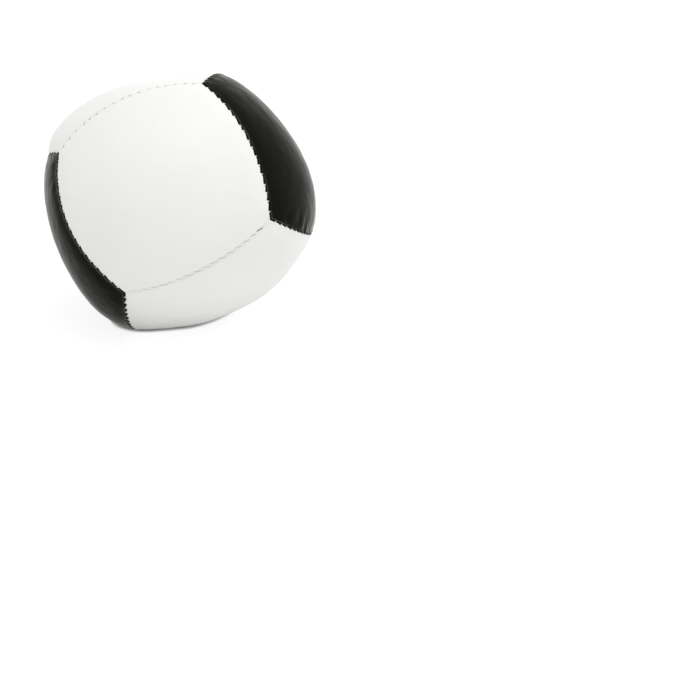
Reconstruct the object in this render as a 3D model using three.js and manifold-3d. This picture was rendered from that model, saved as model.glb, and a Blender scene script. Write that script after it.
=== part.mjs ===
// Sewn six-panel juggling ball, resting on a table.
//
// Six four-sided leather panels are sewn together like the faces of a cube and stuffed with loose grain
// until they swell into a ball. Each panel is a thin shell whose four edges turn inwards as seam
// allowances. Where two panels meet, their allowances lie face to face and one thread runs in and out
// through both of them, so that twelve threads hold the six panels around the filling.
//
// The ball is built upright about its own centre, x to the right panel, y to the back panel and z to the
// top panel. A group then turns it the way it lies and lifts it so that its pressed-flat patch is at z = 0.

import * as THREE from 'three';
import { mergeGeometries, mergeVertices } from 'three/addons/utils/BufferGeometryUtils.js';
import Module from 'manifold-3d';

// Overall form, in millimetres and degrees
const seamRadius = 35; // ball centre to a seam, before the ball settles
const frontDip = 1; // how far the middle of a panel lies inside the sphere of the seams
const backDip = 1;
const leftDip = 1.9;
const rightDip = 1.7;
const topDip = 2.1;
const bottomDip = 2;
const topSlack = 5.3; // extra dip of the top panel towards the right panel, less towards the left one
const slump = 1.1; // how much the ball sinks down under its own weight
const restSag = 3; // how deep the underside is pressed flat
const restRim = 0.8; // roundness of the rim of the flat patch
const grooveDepth = 0.45; // how far the stitches draw a seam in
const grooveReach = 2.6;
const lieTurn = [-35.8, -24.55, -11.6]; // how the ball has rolled, about x, y and z in turn
const lumpSpread = 0.35; // reach of a lump in the filling, as a share of the radius
const lumps = [ // where the filling lies thicker or thinner, seen from the centre of the ball as it lies
  { towards: new THREE.Vector3(-0.51, -0.29, -0.81), height: 1.75 },
  { towards: new THREE.Vector3(0.93, -0.12, -0.34), height: -0.6 },
  { towards: new THREE.Vector3(0.8, 0.21, 0.56), height: -0.4 },
  { towards: new THREE.Vector3(0.28, 0.33, 0.9), height: 0.2 },
  { towards: new THREE.Vector3(1, 0, 0), height: 0.85 },
  { towards: new THREE.Vector3(-0.97, -0.09, -0.24), height: -0.2 },
  { towards: new THREE.Vector3(-0.96, 0.1, 0.28), height: 0.4 },
  { towards: new THREE.Vector3(0.43, -0.31, -0.85), height: -1.2 },
  { towards: new THREE.Vector3(-0.15, -0.45, -0.88), height: -0.9 },
];
const pulls = [ // where the panels are sewn out of place: a corner and the middle of a seam
  { from: new THREE.Vector3(1, 1, -1).normalize(), by: new THREE.Vector3(3.6, -0.1, 3.4), spread: 0.65 },
  { from: new THREE.Vector3(-1, -1, 0).normalize(), by: new THREE.Vector3(-1, 1, 0), spread: 0.5 },
];

// Leather and seams
const leatherThickness = 0.9;
const foldInnerRadius = 0.1;
const seamAllowance = 3; // straight part of the turned-in edge, below the fold
const seamGap = 0.3; // between two facing allowances

// Thread and needle holes
const stitchCount = 17; // needle holes along one seam
const stitchInset = 0.81; // end of the fold to the line of stitches
const seamEndMargin = 2.2; // corner of the panel to the first needle hole
const threadWidth = 0.45;
const threadClearance = 0.2;

// Filling
const fillClearance = 0.35;

// Fineness of the facets
const panelSteps = 8; // along each side of a panel
const foldSteps = 2; // round each fold
const liftPasses = 8; // rounds of closing in on a point beside a seam
const weldDistance = 1e-4; // points closer than this are one point

// Sizes that follow
const foldRadius = foldInnerRadius + leatherThickness;
const allowanceFace = seamGap / 2;
const allowanceBack = allowanceFace + leatherThickness;
const allowanceDepth = foldRadius + seamAllowance;
const stitchDepth = foldRadius + stitchInset;
const needleHole = threadWidth + 2 * threadClearance;
const holeReach = allowanceBack + threadClearance;
const threadOffset = holeReach + threadWidth / 2;
const cornerAngle = Math.atan(Math.SQRT1_2); // from the middle of a seam to its end
const panelMiddle = Math.PI / 4; // from a seam to the middle of a panel

const whiteLeather = { color: 0xf1f1ec, roughness: 0.5, metalness: 0 };
const blackLeather = { color: 0x1f1f20, roughness: 0.42, metalness: 0 };
const whiteThread = { color: 0xf4f2ea, roughness: 0.8, metalness: 0 };
const milletGrain = { color: 0xd9b45f, roughness: 0.9, metalness: 0 };

const panels = [
  { name: 'right', normal: new THREE.Vector3(1, 0, 0), dip: rightDip, finish: blackLeather },
  { name: 'left', normal: new THREE.Vector3(-1, 0, 0), dip: leftDip, finish: blackLeather },
  { name: 'back', normal: new THREE.Vector3(0, 1, 0), dip: backDip, finish: whiteLeather },
  { name: 'front', normal: new THREE.Vector3(0, -1, 0), dip: frontDip, finish: whiteLeather },
  { name: 'top', normal: new THREE.Vector3(0, 0, 1), dip: topDip, finish: whiteLeather },
  { name: 'bottom', normal: new THREE.Vector3(0, 0, -1), dip: bottomDip, finish: whiteLeather },
];

// How the ball lies: the vertical seen from the ball's own axes
const lie = new THREE.Quaternion().setFromEuler(
  new THREE.Euler(...lieTurn.map(THREE.MathUtils.degToRad), 'XYZ'));
const vertical = new THREE.Vector3(0, 0, 1).applyQuaternion(lie.clone().invert());

// Fades from 1 at the middle of a lump or a pull to 0 away from it
function nearness(direction, middle, spread) {
  return Math.exp(-direction.distanceToSquared(middle) / (spread * spread));
}

// Where a direction of the evenly sewn ball ends up on the crooked one
function pulled(direction) {
  const moved = direction.clone();
  for (const { from, by, spread } of pulls) {
    moved.addScaledVector(by, nearness(direction, from, spread) / seamRadius);
  }
  return moved.normalize();
}

// Distance from the centre to the leather before the underside is pressed flat
function freeRadius(direction) {
  const facing = panels.reduce((best, panel) =>
    panel.normal.dot(direction) > best.normal.dot(direction) ? panel : best);
  const reach = facing.normal.dot(direction);
  const [across, back, up] = direction.toArray().map((part) => part / reach);
  const arch = [across, back, up].reduce((product, part, axis) =>
    facing.normal.getComponent(axis) === 0 ? product * (1 - part * part) : product, 1);
  const dip = facing.name === 'top' ? facing.dip + topSlack * across : facing.dip;
  const [far, middle, near] = direction.toArray().map(Math.abs).sort((one, other) => one - other);
  const [groove, otherGroove] = [middle, far].map((side) =>
    Math.exp(-(((near - side) * seamRadius / Math.SQRT2 / grooveReach) ** 2)));
  const lying = pulled(direction).applyQuaternion(lie);
  const lump = lumps.reduce((sum, { towards, height }) =>
    sum + height * nearness(lying, towards, lumpSpread), 0);
  const sunk = grooveDepth * (1 - (1 - groove) * (1 - otherGroove));
  return seamRadius - dip * arch - slump * lying.z ** 2 + lump - sunk;
}

const restHeight = freeRadius(vertical.clone().negate()) - restSag;

// Distance from the centre to the leather, with the flat patch that the ball rests on
function outerRadius(direction) {
  const free = freeRadius(direction);
  const downward = -pulled(direction).dot(vertical);
  if (downward * free < restHeight - restRim) return free;
  const floor = restHeight / downward;
  const blend = Math.max(restRim - Math.abs(free - floor), 0) / restRim;
  return Math.min(free, floor) - blend * blend * restRim / 4;
}

// Direction that stands `lift` off the plane of a seam, into the panel, and `swing` along the seam
function seamDirection(panel, neighbour, along, lift, swing) {
  const middle = panel.clone().add(neighbour).normalize();
  const inwards = panel.clone().sub(neighbour).normalize();
  return new THREE.Vector3()
    .addScaledVector(middle, Math.cos(lift) * Math.cos(swing))
    .addScaledVector(along, Math.cos(lift) * Math.sin(swing))
    .addScaledVector(inwards, Math.sin(lift));
}

// Lift at which a point lies `offset` from the plane of the seam and `depth` below the leather's surface
function seamLift(panel, neighbour, along, offset, depth, swingAt) {
  let lift = offset / seamRadius;
  for (let pass = 0; pass < liftPasses; pass++) {
    const direction = seamDirection(panel, neighbour, along, lift, swingAt(lift));
    lift = Math.asin(offset / (outerRadius(direction) - depth));
  }
  return lift;
}

// Half the length of the line at `lift` beside a seam, cut off where the next seam's line meets it
function mitreSwing(lift) {
  return Math.acos(Math.tan(lift) / Math.sqrt(3)) - Math.atan(Math.SQRT2);
}

// Point of a panel: `share` 0 is at the profile point beside the seam and 1 is the middle of the panel,
// and `along` the seam the point goes from -1 at one corner to 1 at the other
function panelPoint(panel, neighbour, along, position, share, profile) {
  const edgeLift = seamLift(panel, neighbour, along, profile.offset, profile.depth,
    (lift) => position * mitreSwing(lift));
  const lift = THREE.MathUtils.lerp(edgeLift, panelMiddle, share);
  const direction = seamDirection(panel, neighbour, along, lift, position * mitreSwing(lift));
  return direction.multiplyScalar(outerRadius(direction) - profile.depth);
}

// Wraps a box over one panel: the box's top is the first profile point's skin, its sides run down the
// profile beside the four seams and its bottom is the last profile point's skin
function wrapBox(normal, profile) {
  const axis = normal.toArray().findIndex((part) => part !== 0);
  const first = new THREE.Vector3().setComponent((axis + 1) % 3, 1);
  const second = normal.clone().cross(first);
  const rows = profile.length - 1;
  const box = new THREE.BoxGeometry(2, 2, 2, panelSteps, panelSteps, rows);
  const places = box.getAttribute('position');
  for (let i = 0; i < places.count; i++) {
    const [x, y, z] = [places.getX(i), places.getY(i), places.getZ(i)];
    const ring = Math.max(Math.abs(x), Math.abs(y));
    const acrossFirst = Math.abs(x) >= Math.abs(y);
    const neighbour = (acrossFirst ? first : second).clone();
    neighbour.multiplyScalar((acrossFirst ? x : y) < 0 ? -1 : 1);
    const along = acrossFirst ? second : first;
    const position = ring === 0 ? 0 : (acrossFirst ? y : x) / ring;
    const row = Math.round((1 - z) / 2 * rows);
    const point = panelPoint(normal, neighbour, along, position, 1 - ring, profile[row]);
    places.setXYZ(i, point.x, point.y, point.z);
  }
  return box;
}

// One list of shared corner points, so that the surface is closed
function weld(geometry) {
  const bare = geometry.clone();
  bare.deleteAttribute('normal');
  bare.deleteAttribute('uv');
  bare.clearGroups();
  return mergeVertices(bare, weldDistance);
}

// Turned-in edge in section, from the outer skin round the fold, down the allowance and back to the
// inner skin
function turnedEdge() {
  const profile = [];
  for (let step = 0; step <= foldSteps; step++) {
    const turn = step / foldSteps * Math.PI / 2;
    profile.push({
      offset: allowanceFace + foldRadius * (1 - Math.sin(turn)),
      depth: foldRadius * (1 - Math.cos(turn)),
    });
  }
  profile.push({ offset: allowanceFace, depth: allowanceDepth });
  profile.push({ offset: allowanceBack, depth: allowanceDepth });
  profile.push({ offset: allowanceBack, depth: foldRadius });
  profile.push({ offset: allowanceFace + foldRadius, depth: leatherThickness });
  return profile;
}

// The twelve seams, each between two panels that touch
const seams = panels.flatMap((one, index) =>
  panels.slice(index + 1)
    .filter((other) => one.normal.dot(other.normal) === 0)
    .map((other) => ({ one, other, along: one.normal.clone().cross(other.normal) })));

// Both ends of each crossing of a seam by its thread, just behind the two allowances
function crossings({ one, other, along }) {
  const endSwing = cornerAngle - seamEndMargin / seamRadius;
  return Array.from({ length: stitchCount }, (_, index) => {
    const swing = THREE.MathUtils.lerp(-endSwing, endSwing, index / (stitchCount - 1));
    return [[one, other], [other, one]].map(([panel, neighbour]) => {
      const place = [panel.normal, neighbour.normal, along];
      const lift = seamLift(...place, threadOffset, stitchDepth, () => swing);
      const direction = seamDirection(...place, lift, swing);
      return direction.multiplyScalar(outerRadius(direction) - stitchDepth);
    });
  });
}

// Square needle through both allowances at every crossing of a seam
function needles(seam) {
  return crossings(seam).map(([start, end]) => {
    const course = end.clone().sub(start);
    const needle = new THREE.BoxGeometry(needleHole, needleHole, course.length() * holeReach / threadOffset);
    const forwards = course.normalize();
    const sideways = seam.along.clone().cross(forwards).normalize();
    const upright = forwards.clone().cross(sideways);
    const placed = new THREE.Matrix4().makeBasis(sideways, upright, forwards);
    return needle.applyMatrix4(placed.setPosition(start.clone().add(end).multiplyScalar(0.5)));
  });
}

const wasm = await Module();
wasm.setup();

function toSolid(geometry) {
  const welded = weld(geometry);
  return new wasm.Manifold(new wasm.Mesh({
    numProp: 3,
    vertProperties: new Float32Array(welded.getAttribute('position').array),
    triVerts: new Uint32Array(welded.index.array),
  }));
}

function toGeometry(solid) {
  const mesh = solid.getMesh();
  const geometry = new THREE.BufferGeometry();
  geometry.setAttribute('position', new THREE.BufferAttribute(mesh.vertProperties, 3));
  geometry.setIndex(new THREE.BufferAttribute(mesh.triVerts, 1));
  return geometry;
}

// Leather shell with its needle holes
function panelGeometry(panel) {
  const shell = toSolid(wrapBox(panel.normal, turnedEdge()));
  const ownSeams = seams.filter((seam) => seam.one === panel || seam.other === panel);
  return toGeometry(shell.subtract(toSolid(mergeGeometries(ownSeams.flatMap(needles)))));
}

// Running stitch: the thread crosses the seam at one needle hole, runs on behind the allowance to the next
// hole and crosses back. A long square bar with a step for every bend is laid along that course.
function threadGeometry(seam) {
  const course = crossings(seam).flatMap((ends, index) => (index % 2 === 0 ? ends : ends.toReversed()));
  const steps = course.length - 1;
  const headings = course.slice(1).map((point, index) => point.clone().sub(course[index]).normalize());
  const bends = course.map((point, index) => {
    const before = headings[Math.max(index - 1, 0)];
    const after = headings[Math.min(index, steps - 1)];
    const corner = THREE.MathUtils.clamp(index, 1, steps - 1);
    const upright = headings[corner - 1].clone().cross(headings[corner]).normalize();
    if (upright.dot(point) < 0) upright.negate();
    const sideBefore = upright.clone().cross(before);
    const sideAfter = upright.clone().cross(after);
    const mitre = sideBefore.clone().add(sideAfter).divideScalar(1 + sideBefore.dot(sideAfter));
    return { point, upright, mitre };
  });
  const bar = new THREE.BoxGeometry(threadWidth, threadWidth, steps, 1, 1, steps);
  const places = bar.getAttribute('position');
  for (let i = 0; i < places.count; i++) {
    const { point, upright, mitre } = bends[Math.round(places.getZ(i) + steps / 2)];
    const laid = point.clone()
      .addScaledVector(mitre, places.getX(i))
      .addScaledVector(upright, places.getY(i));
    places.setXYZ(i, laid.x, laid.y, laid.z);
  }
  return weld(bar);
}

// Loose grain as one body: six swollen cushions under the panels, with a channel that clears the
// allowances and the thread along every seam
function fillGeometry() {
  const channelSide = threadOffset + threadWidth / 2 + fillClearance;
  const channelFloor = allowanceDepth + fillClearance;
  const profile = [
    { offset: channelSide, depth: leatherThickness + fillClearance },
    { offset: channelSide, depth: channelFloor },
    { offset: 0, depth: channelFloor },
  ];
  const cushions = panels.map(({ normal }) => {
    const cushion = wrapBox(normal, profile);
    const underside = cushion.groups.at(-1);
    cushion.setIndex(Array.from(cushion.index.array).slice(0, underside.start));
    return weld(cushion);
  });
  return weld(mergeGeometries(cushions));
}

// Moves the finished geometry of a piece to where the crooked ball has it
function pullGeometry(geometry) {
  const places = geometry.getAttribute('position');
  for (let i = 0; i < places.count; i++) {
    const point = new THREE.Vector3().fromBufferAttribute(places, i);
    const moved = pulled(point.clone().normalize()).multiplyScalar(point.length());
    places.setXYZ(i, moved.x, moved.y, moved.z);
  }
  return geometry;
}

function piece(name, geometry, finish) {
  const mesh = new THREE.Mesh(pullGeometry(geometry), new THREE.MeshStandardMaterial(finish));
  mesh.name = name;
  return mesh;
}

const ball = new THREE.Group();
ball.quaternion.copy(lie);
ball.position.z = restHeight;
panels.forEach((panel) => ball.add(piece(`panel_${panel.name}`, panelGeometry(panel), panel.finish)));
seams.forEach((seam) =>
  ball.add(piece(`thread_${seam.one.name}_${seam.other.name}`, threadGeometry(seam), whiteThread)));
ball.add(piece('grain_fill', fillGeometry(), milletGrain));

const part = new THREE.Group();
part.add(ball);

export default part;
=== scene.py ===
# %% [markdown]
# # A sewn juggling ball
# The object is a soft ball: six leather panels, cut like the faces of a cube, are sewn edge to edge and
# stuffed with millet until they swell into a round shape. This lesson dresses the bare solids of the ball
# with leather, thread and grain. Everything is in metres, in the same frame as the solids.

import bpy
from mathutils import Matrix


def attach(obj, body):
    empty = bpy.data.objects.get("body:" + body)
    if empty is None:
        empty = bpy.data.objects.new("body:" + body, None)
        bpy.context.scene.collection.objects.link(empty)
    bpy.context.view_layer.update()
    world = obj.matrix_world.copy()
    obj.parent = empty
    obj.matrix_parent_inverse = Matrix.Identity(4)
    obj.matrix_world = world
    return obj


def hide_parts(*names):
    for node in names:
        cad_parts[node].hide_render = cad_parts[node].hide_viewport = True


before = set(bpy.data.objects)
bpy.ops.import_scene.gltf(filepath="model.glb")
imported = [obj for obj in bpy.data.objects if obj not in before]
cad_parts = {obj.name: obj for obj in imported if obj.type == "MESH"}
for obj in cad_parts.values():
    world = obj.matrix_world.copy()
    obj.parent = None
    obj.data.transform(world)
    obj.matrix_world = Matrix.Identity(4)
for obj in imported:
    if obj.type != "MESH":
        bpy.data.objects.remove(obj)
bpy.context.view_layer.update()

import bmesh
import bpy
import numpy as np
from mathutils import Euler, Matrix, Vector, noise

mm = 0.001
tiny = 1e-9
chance = np.random.default_rng(17)
print("one millimetre is", mm, "metres")

# %% [markdown]
# ## Camera
# The camera comes first. The photograph looks down on the ball by twenty degrees from about a metre away.
# The ball is not in the middle of the picture, so the camera looks at a point to the right of it and below
# it. A lens shift could do the same, but turning the camera keeps the views from other sides simple.

# %% Place the camera
image_width = 700
ball_pixel = (178.9, 200.8)
pixels_per_metre = 3961
camera_distance = 1.05
sensor_width = 36
camera_drop = np.radians(20)
ball_centre = Vector((0, 0, 30.15 * mm))

to_camera = Vector((0, -np.cos(camera_drop), np.sin(camera_drop)))
picture_right = Vector((1, 0, 0))
picture_up = to_camera.cross(picture_right)
pixels_right = image_width / 2 - ball_pixel[0]
pixels_down = image_width / 2 - ball_pixel[1]
look_at = ball_centre + (picture_right * pixels_right - picture_up * pixels_down) / pixels_per_metre

camera_data = bpy.data.cameras.new("camera")
camera_data.sensor_width = sensor_width
camera_data.lens = pixels_per_metre * camera_distance * sensor_width / image_width
camera = bpy.data.objects.new("camera", camera_data)
camera.location = ball_centre + to_camera * camera_distance
level = Matrix((picture_right, picture_up, to_camera)).transposed().to_quaternion()
aside = (-to_camera).rotation_difference(look_at - camera.location)
camera.rotation_euler = (aside @ level).to_euler()
bpy.context.collection.objects.link(camera)
bpy.context.scene.camera = camera
print("lens:", round(camera_data.lens, 1), "mm")

# %% [markdown]
# ## Form of the ball
# A stuffed ball is a sphere with faults: each panel is a little flatter than the sphere through its seams,
# the ball sinks under its own weight, the grain lies thicker here and thinner there, and the underside is
# pressed flat by the table. The stitches draw each seam in to a shallow groove. One corner and the middle of
# one seam are also sewn out of their places. These faults are written as a few sizes and one formula for the
# distance from the centre to the leather. A sculpted mesh could hold the same form, but a formula lets
# panels, thread and grain share it without gaps.

# %% Faults of the form
seam_radius = 35 * mm
left_dip, right_dip = 1.9 * mm, 1.7 * mm
front_dip, back_dip = 1 * mm, 1 * mm
bottom_dip, top_dip = 2 * mm, 2.1 * mm
top_slack = 5.3 * mm
slump = 1.1 * mm
rest_sag = 3 * mm
rest_rim = 0.8 * mm
groove_depth = 0.45 * mm
groove_reach = 2.6 * mm
lie_turn = (-35.8, -24.55, -11.6)
lump_spread = 0.35
lump_heights = {
    (-0.51, -0.29, -0.81): 1.75 * mm,
    (0.93, -0.12, -0.34): -0.6 * mm,
    (0.8, 0.21, 0.56): -0.4 * mm,
    (0.28, 0.33, 0.9): 0.2 * mm,
    (1, 0, 0): 0.85 * mm,
    (-0.97, -0.09, -0.24): -0.2 * mm,
    (-0.96, 0.1, 0.28): 0.4 * mm,
    (0.43, -0.31, -0.85): -1.2 * mm,
    (-0.15, -0.45, -0.88): -0.9 * mm,
}
pulls = [
    {"from": np.array([1, 1, -1]) / np.sqrt(3), "by": np.array([3.6, -0.1, 3.4]) * mm, "spread": 0.65},
    {"from": np.array([-1, -1, 0]) / np.sqrt(2), "by": np.array([-1, 1, 0]) * mm, "spread": 0.5},
]

panel_dips = np.array([[left_dip, right_dip], [front_dip, back_dip], [bottom_dip, top_dip]])
lie = np.array(Euler(np.radians(lie_turn), "ZYX").to_matrix())
up_axis = 2
print("faults: one flat patch,", len(pulls), "crooked places and", len(lump_heights), "lumps")


# %% Radius of the ball in any direction
def nearness(directions, middle, spread):
    return np.exp(-((directions - middle) ** 2).sum(axis=1) / spread ** 2)


def pulled(directions):
    moved = directions.astype(float)
    for pull in pulls:
        share = nearness(directions, pull["from"], pull["spread"]) / seam_radius
        moved = moved + pull["by"] * share[:, None]
    return moved / np.linalg.norm(moved, axis=1)[:, None]


def free_radius(directions):
    rows = np.arange(len(directions))
    facing = np.abs(directions).argmax(axis=1)
    outward = directions[rows, facing] > 0
    reach = np.abs(directions[rows, facing])
    arches = 1 - (directions / reach[:, None]) ** 2
    arches[rows, facing] = 1
    dips = panel_dips[facing, outward.astype(int)]
    on_top = (facing == up_axis) & outward
    dips = dips + on_top * top_slack * directions[:, 0] / reach
    size = np.sort(np.abs(directions), axis=1)
    beside = (size[:, 2:] - size[:, :2]) / np.sqrt(2) * seam_radius
    groove = 1 - (1 - np.exp(-(beside / groove_reach) ** 2)).prod(axis=1)
    lying = pulled(directions) @ lie.T
    lumps = sum(height * nearness(lying, place, lump_spread) for place, height in lump_heights.items())
    sunk = dips * arches.prod(axis=1) + slump * lying[:, up_axis] ** 2 + groove_depth * groove
    return seam_radius - sunk + lumps


rest_height = free_radius(-lie[up_axis][None])[0] - rest_sag


def outer_radius(directions):
    free = free_radius(directions)
    downward = -(pulled(directions) @ lie.T)[:, up_axis]
    table = rest_height / np.maximum(downward, tiny)
    blend = np.maximum(rest_rim - np.abs(free - table), 0) / rest_rim
    return np.minimum(free, table) - blend ** 2 * rest_rim / 4


def to_world(points):
    distance = np.linalg.norm(points, axis=1)[:, None]
    placed = (pulled(points / distance) * distance) @ lie.T + np.array([0, 0, rest_height])
    placed[:, up_axis] = np.maximum(placed[:, up_axis], 0)
    return placed


print("the centre is", round(rest_height / mm, 2), "mm above the table")

# %% [markdown]
# ## Seams
# Each panel meets four others, so there are twelve seams. A place beside a seam is told by its lift, the
# angle off the plane of the seam, and its swing, the angle along it. The needle holes lie along the swing,
# about two and a half millimetres apart. Hand and machine never hit the same distance twice, so each hole
# is moved a little by a seeded random draw, the same on every run. The seams also differ in how tightly they
# are drawn. Those of the top panel lie shut and show only their needle holes. Those of the bottom panel gape
# a little between the stitches, and one stitch has slipped. Those of the black panels show the white thread
# as small teeth. Except in the shut seams, the folded edge stands up as a low ridge along the seam.

# %% Seams and their needle holes
panel_normals = {
    "right": np.array([1, 0, 0]),
    "left": np.array([-1, 0, 0]),
    "back": np.array([0, 1, 0]),
    "front": np.array([0, -1, 0]),
    "top": np.array([0, 0, 1]),
    "bottom": np.array([0, 0, -1]),
}
corner_angle = np.arctan(np.sqrt(0.5))
panel_middle = np.pi / 4
stitch_count = 17
seam_end_margin = 2.2 * mm
stitch_jitter = 0.16 * mm
tightness_range = 0.75, 1.2
usual_slant, slant_jitter = 0.25, 0.15
gape_range = 0.6, 1.4
lift_passes = 6
end_swing = corner_angle - seam_end_margin / seam_radius
stitch_step = 2 * end_swing / (stitch_count - 1)

black_panels = ("right", "left")
shut_seam = {"fold": 0.06 * mm, "gape": 0, "lean": 0.05 * mm, "hole": 0.3 * mm,
             "ridge": 0, "rung_depth": 0.85 * mm}
gaping_seam = {"fold": 0.2 * mm, "gape": 0.12 * mm, "lean": 0.65 * mm, "hole": 0,
               "ridge": 0.05 * mm, "rung_depth": 0.3 * mm}
toothed_seam = {"fold": 0.26 * mm, "gape": 0, "lean": 0.6 * mm, "hole": 0.2 * mm,
                "ridge": 0.09 * mm, "rung_depth": 0.18 * mm}
slipped_seam = ("front", "bottom")
slipped_gap = 15
slipped_gape = 0.4 * mm


def seam_kind(one, other):
    if one in black_panels:
        return toothed_seam
    return shut_seam if other == "top" else gaping_seam


seams = {}
names = list(panel_normals)
for index, one in enumerate(names):
    for other in names[index + 1:]:
        if panel_normals[one] @ panel_normals[other] == 0:
            swings = np.linspace(-end_swing, end_swing, stitch_count)
            seams[one, other] = {
                "along": np.cross(panel_normals[one], panel_normals[other]),
                "swings": swings + chance.normal(0, stitch_jitter / seam_radius, stitch_count),
                "tightness": chance.uniform(*tightness_range, stitch_count),
                "slants": chance.normal(usual_slant, slant_jitter, stitch_count),
                "gapes": chance.uniform(*gape_range, stitch_count - 1) * seam_kind(one, other)["gape"],
                **seam_kind(one, other),
            }
seams[slipped_seam]["gapes"][slipped_gap] = slipped_gape
print("seams:", len(seams), "needle holes:", len(seams) * stitch_count)


# %% Places beside a seam
def seam_direction(panel, neighbour, along, lift, swing):
    middle = (panel + neighbour) / np.sqrt(2)
    inwards = (panel - neighbour) / np.sqrt(2)
    flat = np.cos(swing)[:, None] * middle + np.sin(swing)[:, None] * along
    return np.cos(lift)[:, None] * flat + np.sin(lift)[:, None] * inwards


def mitre_swing(lift):
    return np.arccos(np.tan(lift) / np.sqrt(3)) - np.arctan(np.sqrt(2))


def seam_lift(panel, neighbour, along, offset, depth, swing_at):
    lift = offset / seam_radius
    for _ in range(lift_passes):
        direction = seam_direction(panel, neighbour, along, lift, swing_at(lift))
        lift = np.arcsin(offset / (outer_radius(direction) - depth))
    return lift


# %% [markdown]
# ## Panels
# A real panel is a flat piece of leather. Its edges are turned in as seam allowances, and the grain behind
# it pushes its middle out. The mesh is made in the same order: a flat slab is cut with create_grid and
# extruded, its rim is cut into rows for the fold and the allowance, and then every point is wrapped on to
# the form of the ball. The stitches pull small dimples into the edge, and the leather between them puffs up.

# %% Flat slab for one panel
panel_steps = 136
fold_rows = 6
rim_rows = fold_rows + 3


def flat_slab(name):
    builder = bmesh.new()
    bmesh.ops.create_grid(builder, x_segments=panel_steps, y_segments=panel_steps, size=1)
    made = bmesh.ops.extrude_face_region(builder, geom=builder.faces[:], use_keep_orig=True)
    raised = [part for part in made["geom"] if isinstance(part, bmesh.types.BMVert)]
    bmesh.ops.translate(builder, verts=raised, vec=(0, 0, 1))
    upright = [edge for edge in builder.edges if abs(edge.verts[0].co.z - edge.verts[1].co.z) > 0.5]
    bmesh.ops.subdivide_edges(builder, edges=upright, cuts=rim_rows - 1)
    bmesh.ops.recalc_face_normals(builder, faces=builder.faces[:])
    mesh = bpy.data.meshes.new(name)
    builder.to_mesh(mesh)
    builder.free()
    return mesh


# %% Leather and stitch sizes
leather_thickness = 0.9 * mm
seam_allowance = 3 * mm
seam_gap = 0.03 * mm
black_panel_hole = 0.6 * mm
hole_length = 0.3 * mm
lean_start = 0.14
pull_depth = 0.12 * mm
pull_length = 0.5 * mm
pull_reach = 0.8 * mm
ridge_place = 0.75 * mm
ridge_width = 0.4 * mm
column_crowding = 0.6
crowding_fade = 4
row_crowding = 1.5


def crowd_columns(position, ring):
    phase = (position * corner_angle + end_swing) / stitch_step
    sewn = (phase > -0.5) & (phase < stitch_count - 0.5)
    shift = column_crowding * stitch_step / corner_angle * np.sin(2 * np.pi * phase) / (2 * np.pi)
    return position - shift * sewn * ring ** crowding_fade


def stitch_nearness(seam, swing, length):
    distance = (swing[:, None] - seam["swings"]) * seam_radius
    return (seam["tightness"] * np.exp(-(distance / length) ** 2)).max(axis=1)


def between_stitches(seam, swing):
    place = np.interp(swing, seam["swings"], np.arange(stitch_count))
    gap = np.minimum(place.astype(int), stitch_count - 2)
    from_stitch = np.abs(place - np.round(place))
    return gap, place - gap, 1 - np.exp(-(from_stitch / lean_start) ** 2)


# %% Sides of a slab
def mesh_points(mesh):
    points = np.empty(len(mesh.vertices) * 3)
    mesh.vertices.foreach_get("co", points)
    return points.reshape(-1, 3)


def panel_axes(name):
    first = np.roll(np.abs(panel_normals[name]), 1)
    return first, np.cross(panel_normals[name], first), panel_normals[name]


def panel_sides(name, flat):
    first, second, _ = panel_axes(name)
    x, y = flat[:, 0], flat[:, 1]
    across_first = np.abs(x) >= np.abs(y)
    for axis, along, chosen, main, other in (
            (first, second, across_first, x, y), (second, first, ~across_first, y, x)):
        for sign in (1, -1):
            picked = chosen & (main * sign > 0) if sign > 0 else chosen & (main <= 0)
            ring = np.abs(main[picked])
            position = other[picked] / np.maximum(ring, tiny)
            yield picked, axis * sign, along, ring, position


def seam_of(name, neighbour):
    for (one, other), seam in seams.items():
        if one == name and (panel_normals[other] == neighbour).all():
            return seam, 1
        if other == name and (panel_normals[one] == neighbour).all():
            return seam, -1


# %% Wrap a slab over the ball
def wrap_side(name, neighbour, along, ring, position, row):
    normal = panel_normals[name]
    seam, turn_sense = seam_of(name, neighbour)
    along_sense = along @ seam["along"]
    position = crowd_columns(position, ring)
    at_seam = along_sense * position * corner_angle
    hole = black_panel_hole if name in black_panels else seam["hole"]
    notch = hole * stitch_nearness(seam, at_seam, hole_length)
    gap, place, freedom = between_stitches(seam, at_seam)
    lean = turn_sense * seam["lean"] * (0.5 - place) * freedom
    folded = row <= fold_rows
    face = (seam_gap + seam["gapes"][gap] * freedom) / 2 + (notch + lean) * folded
    turn = np.minimum(row, fold_rows) / fold_rows * np.pi / 2
    offset = face + seam["fold"] * (1 - np.sin(turn))
    depth = seam["fold"] * (1 - np.cos(turn))
    offset = np.where(row > fold_rows + 1, face + leather_thickness, offset)
    depth = np.where((row == fold_rows + 1) | (row == fold_rows + 2), seam_allowance, depth)
    depth = np.where(row == rim_rows, leather_thickness, depth)

    edge_lift = seam_lift(normal, neighbour, along, offset, depth,
                          lambda lift: position * mitre_swing(lift))
    share = (1 - ring) ** row_crowding
    lift = edge_lift + (panel_middle - edge_lift) * share
    swing = position * mitre_swing(lift)
    direction = seam_direction(normal, neighbour, along, lift, swing)

    beside = np.sin(lift) * seam_radius
    near = stitch_nearness(seam, along_sense * swing, pull_length)
    dimple = pull_depth * near * np.exp(-(beside / pull_reach) ** 2)
    ridge = seam["ridge"] * np.exp(-((beside - ridge_place) / ridge_width) ** 2)
    depth = depth + (dimple - ridge) * folded
    return direction * (outer_radius(direction) - depth)[:, None], beside


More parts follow.
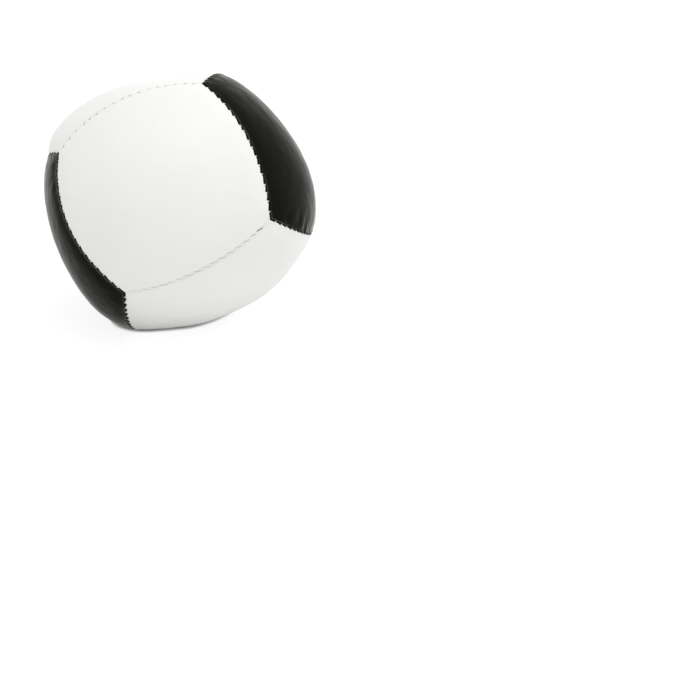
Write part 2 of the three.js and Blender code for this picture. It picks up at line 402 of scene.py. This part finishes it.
# %% [markdown]
# ## Gathers
# The edge of a panel is sewn to a seam that is a little shorter than the leather, so the spare leather
# gathers into small folds that run away from the seam, most of all where it was sewn carelessly. The folds
# could be drawn as waves, but real ones branch and fade, and a cloth simulation finds that by itself. A
# coarse net with the form of the panel is held along its seams, made slightly too large and blown up by
# pressure. Its folds are then laid on the finer panel, without the net's general swell, so that the ball
# keeps its form.

# %% Blow up a net
net_steps = 80
net_scale = 20
net_frames = 20
net_pressure = 4
most_spare = 0.05
spare_fade = 4
side_sharpness = 4
rim_start = 0.999
black_spare, white_spare = 0.15, 0.05
seam_spare = {("right", "bottom"): 1, ("left", "top"): 0.8}


def net_spare(name, flat):
    usual = black_spare if name in black_panels else white_spare
    share, total = 0, 0
    for other, normal in panel_normals.items():
        side = flat @ np.stack(panel_axes(name), axis=1).T @ normal
        closeness = ((1 + side) / 2) ** side_sharpness * (panel_normals[name] @ normal == 0)
        share = share + closeness * seam_spare.get((name, other), usual)
        total = total + closeness
    return share / total * np.abs(flat).max(axis=1) ** spare_fade


def blow_up(name):
    builder = bmesh.new()
    bmesh.ops.create_grid(builder, x_segments=net_steps, y_segments=net_steps, size=1)
    mesh = bpy.data.meshes.new("net")
    builder.to_mesh(mesh)
    builder.free()
    flat = mesh_points(mesh)
    points = np.empty_like(flat)
    for picked, neighbour, along, ring, position in panel_sides(name, flat):
        points[picked] = wrap_side(name, neighbour, along, ring, position, np.zeros(len(ring)))[0]
    mesh.vertices.foreach_set("co", (points * net_scale).ravel())
    net = bpy.data.objects.new("net", mesh)
    bpy.context.collection.objects.link(net)

    held = net.vertex_groups.new(name="held")
    held.add(np.flatnonzero(np.abs(flat).max(axis=1) > rim_start).tolist(), 1, "REPLACE")
    tight = net.vertex_groups.new(name="tight")
    for index, spare in enumerate(net_spare(name, flat)):
        tight.add([index], 1 - spare, "REPLACE")
    cloth = net.modifiers.new("cloth", "CLOTH")
    cloth.settings.vertex_group_mass = held.name
    cloth.settings.vertex_group_shrink = tight.name
    cloth.settings.shrink_min = -most_spare
    cloth.settings.shrink_max = 0
    cloth.settings.use_pressure = True
    cloth.settings.uniform_pressure_force = net_pressure
    cloth.settings.effector_weights.gravity = 0
    for frame_number in range(1, net_frames + 1):
        bpy.context.scene.frame_set(frame_number)
    blown = mesh_points(net.evaluated_get(bpy.context.evaluated_depsgraph_get()).data) / net_scale
    bpy.context.scene.frame_set(1)
    bpy.data.objects.remove(net)

    swell = np.zeros((net_steps + 1, net_steps + 1))
    column, line = np.round((flat[:, :2] + 1) / 2 * net_steps).astype(int).T
    swell[column, line] = np.linalg.norm(blown, axis=1) - np.linalg.norm(points, axis=1)
    return swell


# %% Take the folds from the net
fold_window = 5
last_window = 1
corner_blend = 0.3


def smoothed(swell, axis, reach):
    steps = np.arange(-reach, reach + 1)
    places = np.clip(np.arange(net_steps + 1)[:, None] + steps, 0, net_steps)
    return np.take(swell, places, axis=axis).mean(axis=axis + 1)


def make_folds(name):
    swell = blow_up(name)
    from_middle = np.abs(np.linspace(-1, 1, net_steps + 1))
    beside_first = np.clip(0.5 + (from_middle[:, None] - from_middle) / corner_blend, 0, 1)
    folds = swell - beside_first * smoothed(swell, 1, fold_window)
    folds = folds - (1 - beside_first) * smoothed(swell, 0, fold_window)
    return smoothed(smoothed(folds, 0, last_window), 1, last_window)


def folds_at(folds, flat):
    place = (flat[:, :2] + 1) / 2 * net_steps
    corner = np.minimum(place.astype(int), net_steps - 1)
    across, along = (place - corner).T
    column, line = corner.T
    low = folds[column, line] * (1 - across) + folds[column + 1, line] * across
    high = folds[column, line + 1] * (1 - across) + folds[column + 1, line + 1] * across
    return low * (1 - along) + high * along


# %% [markdown]
# ## Panels with gathers and the print of the grain
# Now each panel gets its folds. The millet also presses through the thin leather, so the surface is never
# quite even. A smooth noise a few millimetres wide moves the leather in and out by a few hundredths of a
# millimetre, which is too little to see on the white panels and breaks up the shine of the black ones.

# %% Make the panels
print_size = 3 * mm
print_height = 0.065 * mm


def grain_print(points):
    return print_height * np.array([noise.noise(Vector(point) / print_size) for point in points])


def make_panel(name):
    mesh = flat_slab(f"{name}_panel_leather")
    flat = mesh_points(mesh)
    row = np.round((1 - flat[:, 2]) * rim_rows)
    points = np.empty_like(flat)
    seam_distance = np.empty(len(flat))
    for picked, neighbour, along, ring, position in panel_sides(name, flat):
        points[picked], seam_distance[picked] = wrap_side(
            name, neighbour, along, ring, position, row[picked])
    raised = folds_at(make_folds(name), flat) + grain_print(points)
    points *= 1 + (raised / np.linalg.norm(points, axis=1))[:, None]
    mesh.vertices.foreach_set("co", to_world(points).ravel())
    mesh.attributes.new("seam_distance", "FLOAT", "POINT").data.foreach_set("value", seam_distance)
    mesh.polygons.foreach_set("use_smooth", np.ones(len(mesh.polygons), dtype=bool))
    mesh.update()
    piece = bpy.data.objects.new(mesh.name, mesh)
    bpy.context.collection.objects.link(piece)
    return piece


panels = {name: make_panel(name) for name in panel_normals}
print("panels:", {name: len(piece.data.polygons) for name, piece in panels.items()})

# %% [markdown]
# ## Thread
# One polyester thread runs along each seam. At every needle hole it crosses from one panel to the other,
# then runs on behind the seam allowance to the next hole and crosses back. Only the short crossings show.
# A flat strip from create_grid is rolled into a tube around that course, because its UV map then follows
# the thread and can carry the twist of the yarn.

# %% Course of a running stitch
thread_radius = 0.22 * mm
rung_half = 0.55 * mm
float_depth = 1.45 * mm
float_offset = 1.35 * mm
thread_sides = 8
corner_cut = 0.25
corner_passes = 2
weld_distance = 0.001 * mm


def round_corners(points):
    for _ in range(corner_passes):
        first, second = points[:-1], points[1:]
        after_first = (1 - corner_cut) * first + corner_cut * second
        before_second = corner_cut * first + (1 - corner_cut) * second
        cut = np.stack([after_first, before_second], axis=1)
        points = np.concatenate([points[:1], cut.reshape(-1, 3), points[-1:]])
    return points


def stitch_course(one, other):
    seam = seams[one, other]
    stations = []
    for index, swing in enumerate(seam["swings"]):
        side = 1 if index % 2 == 0 else -1
        slant = seam["slants"][index] * side
        rung_depth = seam["rung_depth"] + pull_depth * seam["tightness"][index]
        stations += [
            (side * float_offset, float_depth, swing),
            (side * rung_half, rung_depth, swing + slant * rung_half / seam_radius),
            (-side * rung_half, rung_depth, swing - slant * rung_half / seam_radius),
            (-side * float_offset, float_depth, swing),
        ]
    offset, depth, swing = np.array(stations).T
    direction = seam_direction(panel_normals[one], panel_normals[other], seam["along"],
                               np.arcsin(offset / seam_radius), swing)
    return direction * (outer_radius(direction) - depth)[:, None]


# %% Thread tubes
def make_thread(one, other):
    course = to_world(round_corners(stitch_course(one, other)))
    centre = np.array([0, 0, rest_height])
    heading = np.gradient(course, axis=0)
    heading /= np.linalg.norm(heading, axis=1)[:, None]
    side = np.cross(heading, course - centre)
    side /= np.linalg.norm(side, axis=1)[:, None]
    rise = np.cross(side, heading)

    builder = bmesh.new()
    builder.loops.layers.uv.new("UVMap")
    bmesh.ops.create_grid(builder, x_segments=len(course) - 1, y_segments=thread_sides, size=1,
                          calc_uvs=True)
    for vert in builder.verts:
        station = round((vert.co.x + 1) / 2 * (len(course) - 1))
        angle = vert.co.y * np.pi
        ring = np.cos(angle) * side[station] + np.sin(angle) * rise[station]
        vert.co = Vector(course[station] + ring * thread_radius)
    bmesh.ops.remove_doubles(builder, verts=builder.verts[:], dist=weld_distance)
    bmesh.ops.holes_fill(builder, edges=[edge for edge in builder.edges if edge.is_boundary])
    bmesh.ops.recalc_face_normals(builder, faces=builder.faces[:])
    mesh = bpy.data.meshes.new(f"{one}_{other}_stitches")
    builder.to_mesh(mesh)
    builder.free()
    mesh.polygons.foreach_set("use_smooth", np.ones(len(mesh.polygons), dtype=bool))
    piece = bpy.data.objects.new(mesh.name, mesh)
    bpy.context.collection.objects.link(piece)
    return piece


threads = {pair: make_thread(*pair) for pair in seams}
print("threads:", len(threads), "faces each:", len(threads["right", "back"].data.polygons))

# %% [markdown]
# ## Filling
# The ball is stuffed with millet, small round grains of about two millimetres. They never show, but they
# are what the leather rests on. The outer layer of grains is laid on a spiral that spreads points evenly
# over a sphere, and each grain is an icosphere of twenty faces, because there are thousands of them.

# %% Layer of millet grains
grain_size = 2.2 * mm
grain_count = 3000
grain_depth = leather_thickness + 0.75 * grain_size
least_squash = 0.82
golden_angle = np.pi * (3 - np.sqrt(5))
channel_half = 2.6 * mm
channel_depth = 4 * mm


def make_filling():
    turn = np.arange(grain_count) + 0.5
    height = 1 - 2 * turn / grain_count
    around = turn * golden_angle
    level = np.sqrt(1 - height ** 2)
    directions = np.stack([level * np.cos(around), level * np.sin(around), height], axis=1)
    size = np.sort(np.abs(directions), axis=1)
    beside = (size[:, 2] - size[:, 1]) / np.sqrt(2) * seam_radius
    deeper = channel_depth * (beside < channel_half)
    centres = to_world(directions * (outer_radius(directions) - grain_depth - deeper)[:, None])
    builder = bmesh.new()
    bmesh.ops.create_icosphere(builder, subdivisions=1, radius=grain_size / 2)
    grain = bpy.data.meshes.new("millet_grain")
    builder.to_mesh(grain)
    builder.free()
    piece = bpy.data.objects.new("millet_filling", grain)
    bpy.context.collection.objects.link(piece)
    repeat = piece.modifiers.new("repeat", "ARRAY")
    repeat.count = grain_count
    repeat.use_relative_offset = False
    piece.data = bpy.data.meshes.new_from_object(piece.evaluated_get(bpy.context.evaluated_depsgraph_get()))
    piece.modifiers.clear()
    squash = chance.uniform(least_squash, 1, (grain_count, 1, 3))
    corners = mesh_points(piece.data).reshape(grain_count, -1, 3) * squash + centres[:, None]
    piece.data.vertices.foreach_set("co", corners.ravel())
    piece.data.polygons.foreach_set("use_smooth", np.ones(len(piece.data.polygons), dtype=bool))
    return piece


filling = make_filling()
print("grains:", grain_count)

# %% [markdown]
# ## Materials
# Every material starts from what the real one is. Colours are written as they look on a screen and turned
# to linear light by one function, and one small function adds a node with its settings and links.


# %% Helpers for materials
def linear(hex_colour):
    parts = [int(hex_colour[at:at + 2], 16) / 255 for at in (1, 3, 5)]
    light = [part / 12.92 if part <= 0.04045 else ((part + 0.055) / 1.055) ** 2.4 for part in parts]
    return (*light, 1)


def add_node(tree, kind, links, **settings):
    node = tree.nodes.new(kind)
    for name, value in settings.items():
        setattr(node, name, value)
    for name, value in links.items():
        if isinstance(value, bpy.types.NodeSocket):
            tree.links.new(value, node.inputs[name])
        else:
            node.inputs[name].default_value = value
    return node


def new_material(name):
    material = bpy.data.materials.new(name)
    material.use_nodes = True
    tree = material.node_tree
    tree.nodes.clear()
    return material, tree


# %% [markdown]
# ## Synthetic leather
# The panels are coated synthetic leather: cloth with a thin skin of polyurethane that was pressed with a
# fine grain. To the eye it is smooth and satin, with shallow pebbles under a millimetre wide and soft
# cloudy shine. A Voronoi pattern gives the pebbles, a fine noise the pores and a broad noise the handling.
# Along the seams a narrow band on the fold of the leather is recoloured. On the black it is a grey band:
# partly scuffing, partly a painted highlight on the crest of the fold. On the white it is a faint soiling.
# The distance to the seam, stored with the mesh, says where, and the broad noise leaves gaps in it.

# %% Leather material
pebble_size = 0.8 * mm
pore_size = 0.25 * mm
cloud_size = 14 * mm
grain_height = 0.02 * mm
# Band beside the seam: wear on both leathers, and on the black also a painted highlight on the fold's crest.
wear_and_highlight_start, wear_and_highlight_middle, wear_and_highlight_end = 0.35 * mm, 0.55 * mm, 0.8 * mm
wear_and_highlight_patch_start, wear_and_highlight_patch_full = 0.42, 0.6
shine_change = 0.06
leather_ior = 1.5
sheen_roughness = 0.26


def coated_leather(name, light_hex, shade_hex, wear_and_highlight_hex, roughness, specular, sheen):
    material, tree = new_material(name)
    place = add_node(tree, "ShaderNodeTexCoord", {}).outputs["Object"]
    cloud = add_node(tree, "ShaderNodeTexNoise", {"Vector": place, "Scale": 1 / cloud_size, "Detail": 3})
    pebbles = add_node(tree, "ShaderNodeTexVoronoi", {"Vector": place, "Scale": 1 / pebble_size},
                       feature="SMOOTH_F1")
    pores = add_node(tree, "ShaderNodeTexNoise", {"Vector": place, "Scale": 1 / pore_size, "Detail": 2})
    relief = add_node(tree, "ShaderNodeMath", {0: pebbles.outputs["Distance"], 1: -1,
                                               2: pores.outputs["Fac"]}, operation="MULTIPLY_ADD")
    bump = add_node(tree, "ShaderNodeBump", {"Height": relief.outputs[0], "Distance": grain_height,
                                             "Strength": 1})
    tint = add_node(tree, "ShaderNodeMix", {"Factor": cloud.outputs["Fac"], "A": linear(light_hex),
                                            "B": linear(shade_hex)}, data_type="RGBA")
    beside = add_node(tree, "ShaderNodeAttribute", {}, attribute_name="seam_distance").outputs["Fac"]
    near_edge = add_node(tree, "ShaderNodeMapRange", {"Value": beside, "From Min": wear_and_highlight_start,
                                                      "From Max": wear_and_highlight_middle})
    far_edge = add_node(tree, "ShaderNodeMapRange", {"Value": beside, "From Min": wear_and_highlight_end,
                                                     "From Max": wear_and_highlight_middle})
    wear_and_highlight_band = add_node(tree, "ShaderNodeMath", {0: near_edge.outputs[0], 1: far_edge.outputs[0]},
                      operation="MULTIPLY")
    patchy = add_node(tree, "ShaderNodeMapRange", {"Value": cloud.outputs["Fac"], "From Min": wear_and_highlight_patch_start,
                                                   "From Max": wear_and_highlight_patch_full})
    patchy_wear_and_highlight = add_node(tree, "ShaderNodeMath", {0: wear_and_highlight_band.outputs[0], 1: patchy.outputs[0]},
                    operation="MULTIPLY")
    # Mix in the seam band colour: a painted highlight with some scuffing on the black, a faint soiling on
    # the white.
    tint = add_node(tree, "ShaderNodeMix", {"Factor": patchy_wear_and_highlight.outputs[0], "A": tint.outputs["Result"],
                                            "B": linear(wear_and_highlight_hex)}, data_type="RGBA")
    shine = add_node(tree, "ShaderNodeMapRange", {"Value": cloud.outputs["Fac"],
                                                  "To Min": roughness - shine_change,
                                                  "To Max": roughness + shine_change})
    leather = add_node(tree, "ShaderNodeBsdfPrincipled", {
        "Base Color": tint.outputs["Result"], "Roughness": shine.outputs[0],
        "Normal": bump.outputs["Normal"], "IOR": leather_ior, "Specular IOR Level": specular,
        "Sheen Weight": sheen, "Sheen Roughness": sheen_roughness, "Sheen Tint": linear("#fffffa")})
    add_node(tree, "ShaderNodeOutputMaterial", {"Surface": leather.outputs[0]})
    return material


white_leather = coated_leather("white coated synthetic leather", "#f6f6f4", "#f1f1ee", "#e8e7e0",
                               roughness=0.5, specular=0.4, sheen=0)
# The grey #5c5b56 along the seams is a painted highlight on the crest of each fold, together with scuffing.
black_leather = coated_leather("black coated synthetic leather", "#151513", "#191917", "#5c5b56",
                               roughness=0.42, specular=0, sheen=0.95)
panel_leather = {"right": black_leather, "left": black_leather, "back": white_leather,
                 "front": white_leather, "top": white_leather, "bottom": white_leather}
for name, piece in panels.items():
    piece.data.materials.append(panel_leather[name])
print("leathers:", white_leather.name, "and", black_leather.name)

# %% [markdown]
# ## Thread and grain
# The thread is spun polyester, two yarns twisted together, so its surface is matt with slanting ridges.
# The ridges are a wave on the UV map. Millet has a dry, dull husk whose yellow differs from grain to grain.

# %% Thread material
twists = 110
yarns = 2
ridge_scale = 0.32
ridge_waver = 0.4
yarn_height = 0.03 * mm


def spun_thread():
    material, tree = new_material("white spun polyester thread")
    place = add_node(tree, "ShaderNodeTexCoord", {}).outputs["UV"]
    stretched = add_node(tree, "ShaderNodeMapping", {"Vector": place, "Scale": (twists, yarns, 1)})
    ridges = add_node(tree, "ShaderNodeTexWave", {"Vector": stretched.outputs[0], "Scale": ridge_scale,
                                                  "Distortion": ridge_waver}, bands_direction="DIAGONAL")
    tint = add_node(tree, "ShaderNodeMix", {"Factor": ridges.outputs["Fac"], "A": linear("#e6e4dc"),
                                            "B": linear("#f6f5f0")}, data_type="RGBA")
    bump = add_node(tree, "ShaderNodeBump", {"Height": ridges.outputs["Fac"], "Distance": yarn_height,
                                             "Strength": 1})
    yarn = add_node(tree, "ShaderNodeBsdfPrincipled", {
        "Base Color": tint.outputs["Result"], "Roughness": 0.8, "Normal": bump.outputs["Normal"],
        "Specular IOR Level": 0.3})
    add_node(tree, "ShaderNodeOutputMaterial", {"Surface": yarn.outputs[0]})
    return material


thread_material = spun_thread()
for piece in threads.values():
    piece.data.materials.append(thread_material)
print("thread:", thread_material.name)

# %% Grain material
husk_height = 0.05 * mm


def dry_millet():
    material, tree = new_material("dry millet husk")
    place = add_node(tree, "ShaderNodeTexCoord", {}).outputs["Object"]
    husks = add_node(tree, "ShaderNodeTexVoronoi", {"Vector": place, "Scale": 1 / grain_size})
    specks = add_node(tree, "ShaderNodeTexNoise", {"Vector": place, "Scale": 1 / pore_size})
    tint = add_node(tree, "ShaderNodeMix", {"Factor": husks.outputs["Color"], "A": linear("#c99a45"),
                                            "B": linear("#e6c675")}, data_type="RGBA")
    bump = add_node(tree, "ShaderNodeBump", {"Height": specks.outputs["Fac"], "Distance": husk_height})
    husk = add_node(tree, "ShaderNodeBsdfPrincipled", {
        "Base Color": tint.outputs["Result"], "Roughness": 0.75, "Normal": bump.outputs["Normal"]})
    add_node(tree, "ShaderNodeOutputMaterial", {"Surface": husk.outputs[0]})
    return material


filling.data.materials.append(dry_millet())
print("filling:", filling.data.materials[0].name)

# %% [markdown]
# ## Floor and light
# The photograph was taken on a white sweep under soft light from the upper right. The floor is a large
# sheet that is white to the camera but keeps the ball's shadow, and an occlusion node darkens it in the
# narrow gap under the ball. A broad lamp overhead gives the direction of the light, a second one behind the
# ball on the right gives the shine on the black leather, and the pale world fills the rest.

# %% Floor
floor_half = 6
contact_reach = 0.9 * mm
floor_glow = 0.86


def seen_directly(tree):
    path = add_node(tree, "ShaderNodeLightPath", {})
    mirrored = add_node(tree, "ShaderNodeMath", {0: path.outputs["Is Camera Ray"],
                                                 1: path.outputs["Is Glossy Ray"]}, operation="MAXIMUM")
    seen = add_node(tree, "ShaderNodeMath", {0: mirrored.outputs[0],
                                             1: path.outputs["Is Transmission Ray"]}, operation="MAXIMUM")
    return seen.outputs[0]


def make_floor():
    builder = bmesh.new()
    bmesh.ops.create_grid(builder, x_segments=1, y_segments=1, size=floor_half)
    mesh = bpy.data.meshes.new("floor")
    builder.to_mesh(mesh)
    builder.free()
    floor = bpy.data.objects.new("floor", mesh)
    bpy.context.collection.objects.link(floor)
    material, tree = new_material("white paper sweep")
    paper = add_node(tree, "ShaderNodeBsdfDiffuse", {"Color": linear("#f3f3f3")})
    faint = add_node(tree, "ShaderNodeBsdfDiffuse", {"Color": linear("#8c8c8c")})
    contact = add_node(tree, "ShaderNodeAmbientOcclusion", {"Distance": contact_reach})
    glow = add_node(tree, "ShaderNodeEmission", {"Color": contact.outputs["Color"], "Strength": floor_glow})
    seen = add_node(tree, "ShaderNodeAddShader", {0: faint.outputs[0], 1: glow.outputs[0]})
    mixed = add_node(tree, "ShaderNodeMixShader", {0: seen_directly(tree), 1: paper.outputs[0],
                                                   2: seen.outputs[0]})
    add_node(tree, "ShaderNodeOutputMaterial", {"Surface": mixed.outputs[0]})
    mesh.materials.append(material)
    return floor


floor = make_floor()
print("floor:", 2 * floor_half, "m across")


# %% Light
lamp_size = 0.8
lamps = {
    "overhead": {"place": Vector((0.2, -0.12, 1.2)), "power": 4.3},
    "behind": {"place": Vector((0.75, 0.75, 0.3)), "power": 2.5},
}
world_light = 0.77


def make_lamp(name, place, power):
    light = bpy.data.lights.new(name, "AREA")
    light.shape = "DISK"
    light.size = lamp_size
    light.energy = power
    lamp = bpy.data.objects.new(name, light)
    lamp.location = place
    lamp.rotation_euler = (ball_centre - place).to_track_quat("-Z", "Y").to_euler()
    bpy.context.collection.objects.link(lamp)


def make_world():
    world = bpy.data.worlds.new("white studio")
    world.use_nodes = True
    tree = world.node_tree
    tree.nodes.clear()
    studio = add_node(tree, "ShaderNodeBackground", {"Color": linear("#ffffff"), "Strength": world_light})
    backdrop = add_node(tree, "ShaderNodeBackground", {"Color": linear("#ffffff"), "Strength": 1})
    mixed = add_node(tree, "ShaderNodeMixShader", {0: seen_directly(tree), 1: studio.outputs[0],
                                                   2: backdrop.outputs[0]})
    add_node(tree, "ShaderNodeOutputWorld", {"Surface": mixed.outputs[0]})
    bpy.context.scene.world = world


for name, values in lamps.items():
    make_lamp(name, **values)
make_world()
bpy.context.scene.view_settings.view_transform = "Standard"
print("lamps:", list(lamps), "world:", world_light)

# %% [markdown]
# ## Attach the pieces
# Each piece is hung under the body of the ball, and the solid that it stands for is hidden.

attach(filling, "root")
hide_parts("grain_fill")
for name, piece in panels.items():
    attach(piece, "root")
    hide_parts(f"panel_{name}")
for (one, other), piece in threads.items():
    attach(piece, "root")
    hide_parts(f"thread_{one}_{other}")
